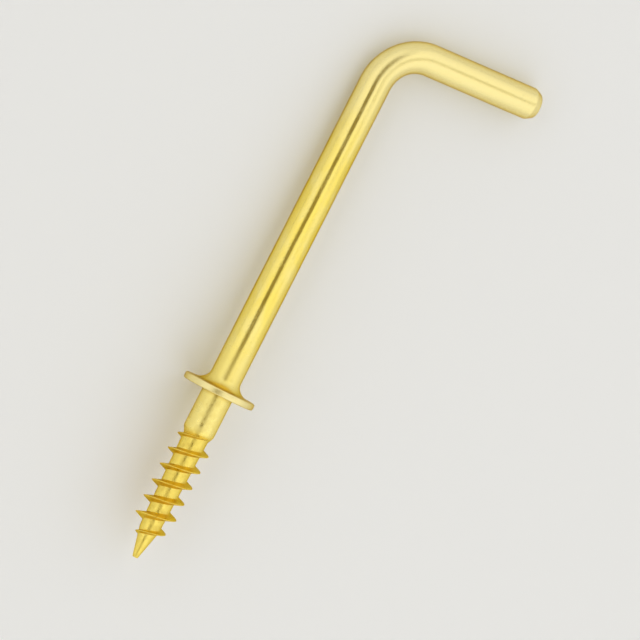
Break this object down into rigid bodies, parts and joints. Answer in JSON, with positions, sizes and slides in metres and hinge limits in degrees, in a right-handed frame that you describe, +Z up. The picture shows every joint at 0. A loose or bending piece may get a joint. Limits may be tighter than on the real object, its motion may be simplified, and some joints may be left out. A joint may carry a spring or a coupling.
{
  "type": "cup hook",
  "caption": "Square shouldered cup hook: a brass-plated wire with a wood screw, a round collar and a straight arm bent square to the shank.",
  "frame": {"origin": "middle of the hook's box in X and Y, on the surface that the hook lies on", "axes": "+Z up; the shank lies along X within about 3 degrees, with the screw's tip towards -X and the bend at +X; the arm points to -Y"},
  "size_m": [0.0472, 0.0162, 0.0061],
  "materials": {
    "brass_plate": "bright brass plating over steel wire"
  },
  "bodies": {
    "root": {"cup_hook": "brass_plate"}
  },
  "joints": []
}
